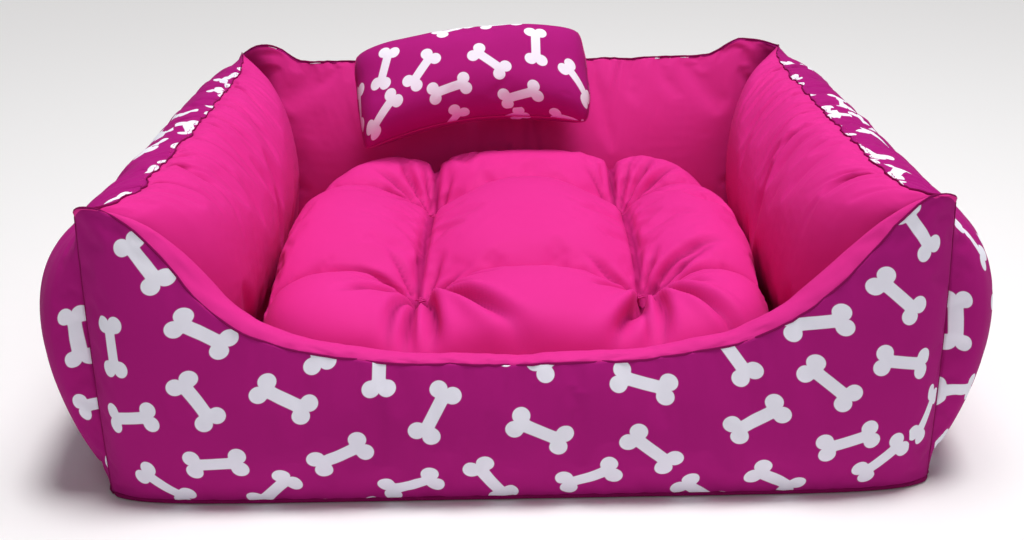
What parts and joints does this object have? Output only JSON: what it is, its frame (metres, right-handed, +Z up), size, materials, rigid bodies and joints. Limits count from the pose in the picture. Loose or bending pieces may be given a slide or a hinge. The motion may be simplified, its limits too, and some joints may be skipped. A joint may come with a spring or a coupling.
{
  "type": "pet cushion bed",
  "caption": "Square pet bed with fat stuffed walls, a low dipped front, a loose tufted seat cushion and a small loose pillow; bone print outside, plain fabric inside.",
  "frame": {"origin": "centre of the underside, on the floor", "axes": "+Z up, +X to the right seen from the front, -Y towards the low front edge"},
  "size_m": [0.7282, 0.6883, 0.254],
  "materials": {
    "print_fabric": "woven cotton blend, dark pink ground with pale bone shapes",
    "plain_fabric": "smooth brushed microfibre, hot pink",
    "seam_fabric": "folded and sewn fabric edge",
    "underside_fabric": "plain coarse non-slip cloth",
    "fibre_fill": "loose polyester fibre",
    "foam_pad": "thin foam sheet",
    "tuft_thread": "twisted thread"
  },
  "bodies": {
    "shell": {"front_outer_panel": "print_fabric", "front_inner_panel": "plain_fabric", "front_top_seam": "seam_fabric", "front_fill": "fibre_fill", "back_outer_panel": "print_fabric", "back_inner_panel": "plain_fabric", "back_top_seam": "seam_fabric", "back_fill": "fibre_fill", "left_outer_panel": "print_fabric", "left_inner_panel": "plain_fabric", "left_top_seam": "seam_fabric", "left_fill": "fibre_fill", "right_outer_panel": "print_fabric", "right_inner_panel": "plain_fabric", "right_top_seam": "seam_fabric", "right_fill": "fibre_fill", "corner_web_front_left": "print_fabric", "corner_web_front_right": "print_fabric", "corner_web_back_left": "print_fabric", "corner_web_back_right": "print_fabric", "base_bottom_panel": "underside_fabric", "base_pad": "foam_pad", "base_lining": "plain_fabric"},
    "seat_cushion": {"seat_fill": "fibre_fill", "seat_cover_top": "plain_fabric", "seat_cover_bottom": "plain_fabric", "seat_tuft_front_left": "tuft_thread", "seat_tuft_front_right": "tuft_thread", "seat_tuft_back_left": "tuft_thread", "seat_tuft_back_right": "tuft_thread"},
    "pillow": {"pillow_fill": "fibre_fill", "pillow_cover_front": "print_fabric", "pillow_cover_back": "print_fabric"}
  },
  "joints": [
    {"name": "seat_lift", "type": "slide", "parent": "shell", "child": "seat_cushion", "axis": [0, 0, 1], "range_m": [0, 0.3]},
    {"name": "pillow_lift", "type": "slide", "parent": "seat_cushion", "child": "pillow", "axis": [0, -0.5, 0.866], "range_m": [0, 0.2]}
  ]
}
